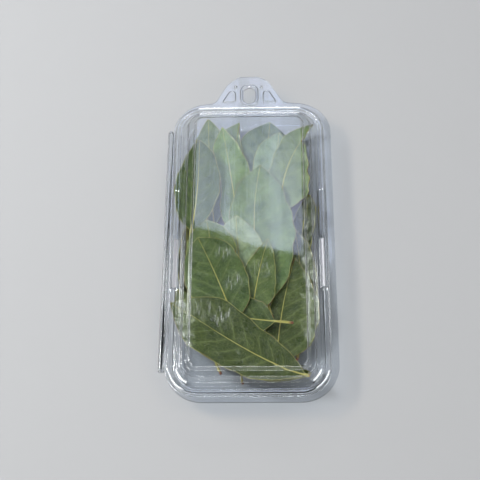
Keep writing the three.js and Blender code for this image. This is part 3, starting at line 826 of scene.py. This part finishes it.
def leaf_material(name, green, colours):
    """Fresh bay leaf: a leathery blade with a thin waxy skin.

    The eye sees a satin green that drifts between darker and yellower patches, a pale yellow midrib
    that thickens towards the stalk, a few faint arched side veins, a fine net between them, a thin
    yellow rim and a dried brown end on the stalk. Blade map: millimetres across and along. Margin
    map: millimetres from the rim, and the station from -1 at the cut through 0 to 1 at the tip.
    """
    material, add = new_material(name)
    blade_map = add("UVMap", uv_map="blade")
    across = add("SeparateXYZ", {0: blade_map})
    along = across.node.outputs["Y"]
    margin_map = add("UVMap", uv_map="margin")
    rim = add("SeparateXYZ", {0: margin_map})
    station = rim.node.outputs["Y"]
    away = add(MATH, {0: across}, operation="ABSOLUTE")

    # Noises, from the widest to the finest: scale for each millimetre, detail and roughness.
    noises = ((0.06, 1, 0.5), (0.07, 2, 0.5), (0.08, 2, 0.5), (0.085, 3, 0.5), (0.5, 3, 0.7),
              (1.4, 2, 0.5))
    wander, stretches, dimples, patches, mottle, flecks = (
        add(NOISE, {"Vector": blade_map, "Scale": scale, "Detail": detail, "Roughness": rough})
        for scale, detail, rough in noises)

    # Each side vein leaves the midrib at its own place and bends towards the tip, and the blade
    # slopes up to it;
    # that slope is raised in the relief and also painted lighter in the colour, as painted shading.
    # A net of cells 2 mm across lies between the veins.
    slant = add(MATH, {0: away, 1: VEIN_CURVE, 2: VEIN_SLANT}, operation="MULTIPLY_ADD")
    forward = add(MATH, {0: away, 1: slant}, operation="MULTIPLY")
    start = add(MATH, {0: along, 1: forward}, operation="SUBTRACT")
    start = add(MATH, {0: wander, 1: 5.0, 2: start}, operation="MULTIPLY_ADD")
    left = add(MATH, {0: across, 1: 0.0}, operation="GREATER_THAN")
    left = add(MATH, {0: left, 1: 0.5}, operation="MULTIPLY")
    phase = add(MATH, {0: start, 1: 1 / VEIN_SPACING, 2: left}, operation="MULTIPLY_ADD")
    phase = add(MATH, {0: phase}, operation="FRACT")
    phase = add(MATH, {0: phase, 1: 0.5}, operation="SUBTRACT")
    beside = add(MATH, {0: phase}, operation="ABSOLUTE")
    fade = add(RAMP, {"Value": rim, "From Min": 0.5, "From Max": 7.0}, **SMOOTH)
    vein = add(RAMP, {"Value": beside, "From Min": 0.045, "From Max": 0.01}, **SMOOTH)
    vein = add(MATH, {0: vein, 1: fade}, operation="MULTIPLY")
    slope_and_painted_shading = add(RAMP, {"Value": beside, "From Min": 0.3, "From Max": 0.0}, **SMOOTH)
    slope_and_painted_shading = add(MATH, {0: slope_and_painted_shading, 1: fade}, operation="MULTIPLY")
    cells = add("TexVoronoi", {"Vector": blade_map, "Scale": 0.5}, feature="DISTANCE_TO_EDGE")
    net = add(RAMP, {"Value": cells, "From Min": 0.1, "From Max": 0.0}, **SMOOTH)
    half_rib = add(RAMP, {
        "Value": station, "From Min": 0.0, "From Max": 0.8, "To Min": 0.46, "To Max": 0.12})
    rib = add(MATH, {0: away, 1: half_rib}, operation="DIVIDE")
    rib = add(RAMP, {"Value": rib, "From Min": 1.25, "From Max": 0.7}, **SMOOTH)
    on_blade = add(RAMP, {"Value": station, "From Min": -0.05, "From Max": 0.02}, **SMOOTH)
    dried = add(RAMP, {"Value": station, "From Min": -0.7, "From Max": -0.92}, **SMOOTH)
    edge = add(RAMP, {"Value": rim, "From Min": 0.5, "From Max": 0.15}, **SMOOTH)

    # The rim has dried brown in stretches of about 14 mm.
    stretches = add(RAMP, {"Value": stretches, "From Min": 0.5, "From Max": 0.6}, **SMOOTH)
    browned = add(MATH, {0: edge, 1: stretches}, operation="MULTIPLY")

    # Colour: patches 12 mm across, mottling of 2 mm and flecks of 0.7 mm, then net, painted shading
    # that lightens the slopes by the side veins, veins, rim, midrib, stalk and cut end, one over
    # the other.
    dark = (green[0] * 0.52, green[1] * 0.6, green[2] * 0.5)
    light = (green[0] * 1.5, green[1] * 1.42, green[2] * 1.2)
    layers = [
        (patches, (0.32, 0.7), 1.0, light),
        (mottle, (0.42, 0.66), 0.6, [part * 0.45 for part in green]),
        (flecks, (0.35, 0.75), 0.16, [part * 0.6 for part in green]),
        (net, None, 0.2, colours.vein),
        # painted shading: the blade is painted lighter on its slope up to each side vein
        (slope_and_painted_shading, None, 0.12, colours.vein),
        (vein, None, 0.24, colours.vein),
        (edge, None, 0.75, colours.margin),
        (browned, None, 0.8, colours.browned),
        (rib, None, 1.0, colours.midrib),
        (on_blade, (1.0, 0.0), 1.0, colours.midrib),
        (dried, None, 1.0, colours.cut_end),
    ]
    colour = (*dark, 1)
    for share, limits, strength, upper in layers:
        low, high = limits or (0.0, 1.0)
        share = add(RAMP, {"Value": share, "From Min": low, "From Max": high, "To Max": strength})
        colour = add(MIX, {0: share, 6: colour, 7: (*upper, 1)}, data_type="RGBA")

    # Relief in tenths of a millimetre: dimples 12 mm across, then what stands out from the blade.
    relief = add(MATH, {0: dimples, 1: 24.0}, operation="MULTIPLY")
    for part, share in ((rib, 1.6), (slope_and_painted_shading, 0.9), (net, 0.3), (flecks, 0.5)):
        relief = add(MATH, {0: part, 1: share, 2: relief}, operation="MULTIPLY_ADD")
    bump = add("Bump", {"Height": relief, "Strength": 0.9, "Distance": 0.1 * MM})
    gloss = add(RAMP, {"Value": patches, "To Min": 0.22, "To Max": 0.36})
    skin = add("BsdfPrincipled", {
        "Base Color": colour, "Roughness": gloss, "Normal": bump, "IOR": 1.42,
        "Specular IOR Level": 0.45, "Coat Weight": 0.1, "Coat Roughness": 0.2, "Coat IOR": 1.4})
    add("OutputMaterial", {"Surface": skin})
    return material


def floor_material(colour):
    """Matt painted board: even and pale, with very faint clouds 25 mm across."""
    material, add = new_material("Matt painted board")
    place = add("TexCoord").node.outputs["Object"]
    clouds = add(NOISE, {"Vector": place, "Scale": 40, "Detail": 3})
    darker = [part * 0.985 for part in colour]
    tone = add(MIX, {0: clouds, 6: (*darker, 1), 7: (*colour, 1)}, data_type="RGBA")
    paint = add("BsdfPrincipled", {
        "Base Color": tone, "Roughness": 0.85, "Specular IOR Level": 0.2})
    add("OutputMaterial", {"Surface": paint})
    return material


def softbox_material(colour):
    """Diffusion cloth over a lamp: bright behind a bowed near edge, dimmer towards the far one.

    Folds in the cloth leave faint bands that run from near to far. Its map runs from 0 to 1 across
    and from 0 to 1 from the near edge to the far one.
    """
    material, add = new_material("Lit diffusion cloth")
    cloth_map = add("UVMap", uv_map="UVMap")
    across = add("SeparateXYZ", {0: cloth_map})
    deep = across.node.outputs["Y"]
    bow = add(MATH, {0: across, 1: across}, operation="MULTIPLY")
    bow = add(MATH, {0: across, 1: bow}, operation="SUBTRACT")
    deep = add(MATH, {0: bow, 1: SOFTBOX_BOW, 2: deep}, operation="MULTIPLY_ADD")
    folds = add("Mapping", {"Vector": cloth_map, "Scale": (1, 0.04, 0)})
    folds = add(NOISE, {"Vector": folds, "Scale": 12, "Detail": 3})
    strength = add(RAMP, {
        "Value": folds, "From Min": 0.3, "From Max": 0.7, "To Min": 0.35, "To Max": 1.2})
    fades = ((deep, SOFTBOX_NEAR, 0.0, 1.0), (deep, SOFTBOX_FAR, 1.0, SOFTBOX_FAR_LIGHT),
             (across, SOFTBOX_LEFT, 0.0, 1.0), (across, SOFTBOX_RIGHT, 0.0, 1.0))
    for way, (start, end), first, last in fades:
        fade = add(RAMP, {
            "Value": way, "From Min": start, "From Max": end, "To Min": first, "To Max": last},
            **SMOOTH)
        strength = add(MATH, {0: strength, 1: fade}, operation="MULTIPLY")
    strength = add(MATH, {0: strength, 1: SOFTBOX_GLOW}, operation="MULTIPLY")
    glow = add("Emission", {"Color": (*colour, 1), "Strength": strength})
    add("OutputMaterial", {"Surface": glow})
    return material


# ---- operators ----
class BAYPACK_OT_tray(bpy.types.Operator):
    """Model the tray sheet with its flange, hang tab and lower hinge bead"""

    bl_idname = "baypack.tray"
    bl_label = "Tray sheet"

    def execute(self, context):
        sizes = context.scene.bay_sizes
        tray = start_half("tray_sheet", sizes, TRAY_FACE_Z, TRAY_SECTION, SLOT_EDGE)
        fill_tab()
        add_bead(TRAY_FACE_Z, -1)
        finish_sheet(tray, sizes, 1)
        tray.data.materials.append(sheet_material(context))
        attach(tray, "tray")
        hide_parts("tray_shell")
        return {"FINISHED"}


class BAYPACK_OT_lid(bpy.types.Operator):
    """Model the lid sheet with its stepped rim, lock bars, hang tab and upper hinge bead"""

    bl_idname = "baypack.lid"
    bl_label = "Lid sheet"

    def execute(self, context):
        sizes = context.scene.bay_sizes
        colours = context.scene.bay_colours
        lid = start_half("lid_sheet", sizes, LID_FACE_Z, LID_SECTION, RING_SECTION)
        for side in (1, -1):
            corners = [(side * x, y) for x, y in PAD_CORNERS]
            add_pad(corners, LID_FACE_Z, PAD_SECTION)
        for centre in STUD_CENTRES:
            add_round_form(centre, STUD_RADIUS, 0, LID_FACE_Z, STUD_SECTION)
        fill_tab()
        add_bead(LID_FACE_Z, 1)
        raise_lock_zones()
        finish_sheet(lid, sizes, -1)
        lid.data.materials.append(sheet_material(context))
        lid.data.materials.append(grained_sheet_material(colours.grained, colours.sheet))
        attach(lid, "lid")
        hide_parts("lid_shell")
        return {"FINISHED"}


class BAYPACK_OT_fold(bpy.types.Operator):
    """Model the thin fold that joins the tray's bead to the lid's"""

    bl_idname = "baypack.fold"
    bl_label = "Hinge fold"

    def execute(self, context):
        low, high = BEAD_ENDS
        edge_x = BEAD_X - BEAD_RADIUS + FOLD_RADIUS / 2
        fold_z = (TRAY_FACE_Z + LID_FACE_Z) / 2
        fold = add_primitive(
            bpy.ops.mesh.primitive_cylinder_add, "hinge_fold", vertices=FOLD_SEGMENTS,
            radius=FOLD_RADIUS * MM, depth=(high - low) * MM, end_fill_type="NOTHING",
            location=Vector((edge_x, (low + high) / 2, fold_z)) * MM, rotation=(math.pi / 2, 0, 0))
        bpy.ops.object.transform_apply(location=True, rotation=True, scale=True)
        bpy.ops.object.mode_set(mode="EDIT")
        bpy.ops.mesh.select_all(action="SELECT")
        bpy.ops.mesh.bisect(
            plane_co=(edge_x * MM, 0, 0), plane_no=(1, 0, 0), threshold=CUT_TOLERANCE,
            clear_outer=True)
        bpy.ops.object.mode_set(mode="OBJECT")
        apply_modifier(fold, "Thickness", "SOLIDIFY", thickness=FOLD_THICKNESS * MM)
        bpy.ops.object.shade_smooth_by_angle(angle=SMOOTH_ANGLE)
        fold.data.materials.append(sheet_material(context))
        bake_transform(fold)
        return {"FINISHED"}


class BAYPACK_OT_leaves(bpy.types.Operator):
    """Model the loose leaves, each where the frame's leaf lies"""

    bl_idname = "baypack.leaves"
    bl_label = "Bay leaves"

    def execute(self, context):
        sizes = context.scene.bay_sizes
        for number, (name, leaf) in enumerate(LEAVES.items()):
            blade = build_leaf(name, leaf, WAVE_STEP * number, sizes)
            label = "Fresh bay leaf, " + name.replace("leaf_", "").replace("_", " ")
            material = leaf_material(label, linear(leaf.green), context.scene.bay_colours)
            blade.data.materials.append(material)
            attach(blade, "tray")
            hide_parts(name)
        return {"FINISHED"}


class BAYPACK_OT_stage(bpy.types.Operator):
    """Set the floor, the soft lights and the camera"""

    bl_idname = "baypack.stage"
    bl_label = "Floor, lights and camera"

    def add_lamp(self, context, name, size, place, power, colour="#ffffff"):
        """A soft rectangular lamp at a place, facing the pack."""
        light = bpy.data.lights.new(name, "AREA")
        light.shape = "RECTANGLE"
        light.size, light.size_y = size
        light.energy = power
        light.color = linear(colour)
        lamp = bpy.data.objects.new(name, light)
        lamp.location = place
        lamp.rotation_euler = Vector(place).to_track_quat("Z", "Y").to_euler()
        context.scene.collection.objects.link(lamp)

    def add_plane(self, name, size, material):
        """A plane that belongs to the stage and not to the pack."""
        plane = add_primitive(bpy.ops.mesh.primitive_plane_add, name, size=size)
        plane.data.materials.append(material)
        return plane

    def light_room(self, scene, colour):
        """Pale walls round the stage and a dim ceiling."""
        scene.world = bpy.data.worlds.new("Studio")
        scene.world.use_nodes = True
        scene.world.node_tree.nodes.clear()
        add = partial(add_node, scene.world.node_tree)
        way = add("TexCoord").node.outputs["Generated"]
        height = add("SeparateXYZ", {0: way}).node.outputs["Z"]
        low, high = ROOM_FADE
        glow = add(RAMP, {
            "Value": height, "From Min": low, "From Max": high,
            "To Min": ROOM_LOW, "To Max": ROOM_HIGH}, **SMOOTH)
        room = add("Background", {"Color": (*colour, 1), "Strength": glow})
        add("OutputWorld", {"Surface": room})

    def execute(self, context):
        scene = context.scene
        colours = scene.bay_colours
        self.add_plane("floor", scene.bay_sizes.floor_width, floor_material(colours.floor))
        softbox = self.add_plane("softbox", 1, softbox_material(colours.softbox))
        # A plane's vertices run row by row, and the corners run round.
        for i, corner in zip((0, 1, 3, 2), SOFTBOX_CORNERS):
            softbox.data.vertices[i].co = (*corner, SOFTBOX_HEIGHT)
        softbox.visible_camera = False
        self.light_room(scene, colours.room)
        scene.view_settings.view_transform = "Standard"
        for name, settings in LAMPS.items():
            self.add_lamp(context, name, *settings)

        camera = bpy.data.cameras.new("Camera")
        camera.lens = CAMERA_LENS
        camera.sensor_width = CAMERA_SENSOR
        camera.clip_start, camera.clip_end = CAMERA_CLIP
        view = bpy.data.objects.new("Camera", camera)
        right, up = Vector(CAMERA_RIGHT), Vector(CAMERA_UP)
        axes = Matrix((right, up, right.cross(up))).transposed().to_4x4()
        view.matrix_world = Matrix.Translation(Vector(CAMERA_PLACE) * MM) @ axes
        scene.collection.objects.link(view)
        scene.camera = view
        return {"FINISHED"}


def sheet_material(context):
    """The clear sheet's material, made once and shared by the sheets and the fold."""
    found = bpy.data.materials.get("Thermoformed clear PET sheet")
    return found or clear_sheet_material(context.scene.bay_colours.sheet)


class BAYPACK_PT_sidebar(bpy.types.Panel):
    """Sizes, colours and steps of the pack"""

    bl_idname = "BAYPACK_PT_sidebar"
    bl_label = "Bay pack"
    bl_space_type = "VIEW_3D"
    bl_region_type = "UI"
    bl_category = "Bay pack"

    def draw(self, context):
        layout = self.layout
        for group in (context.scene.bay_sizes, context.scene.bay_colours):
            box = layout.box()
            for name in group.__annotations__:
                box.prop(group, name)
        for operator in OPERATORS:
            layout.operator(operator.bl_idname)


OPERATORS = (
    BAYPACK_OT_tray, BAYPACK_OT_leaves, BAYPACK_OT_lid, BAYPACK_OT_fold, BAYPACK_OT_stage)
CLASSES = (BayPackSizes, BayPackColours, *OPERATORS, BAYPACK_PT_sidebar)


def register():
    """Makes the sizes, colours, operators and panel known."""
    for cls in CLASSES:
        bpy.utils.register_class(cls)
    bpy.types.Scene.bay_sizes = bpy.props.PointerProperty(type=BayPackSizes)
    bpy.types.Scene.bay_colours = bpy.props.PointerProperty(type=BayPackColours)


def unregister():
    """Takes them away again."""
    del bpy.types.Scene.bay_colours
    del bpy.types.Scene.bay_sizes
    for cls in reversed(CLASSES):
        bpy.utils.unregister_class(cls)


def main():
    """Registers the add-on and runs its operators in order."""
    register()
    bpy.ops.baypack.tray()
    bpy.ops.baypack.leaves()
    bpy.ops.baypack.lid()
    bpy.ops.baypack.fold()
    bpy.ops.baypack.stage()


if __name__ == "__main__":
    main()
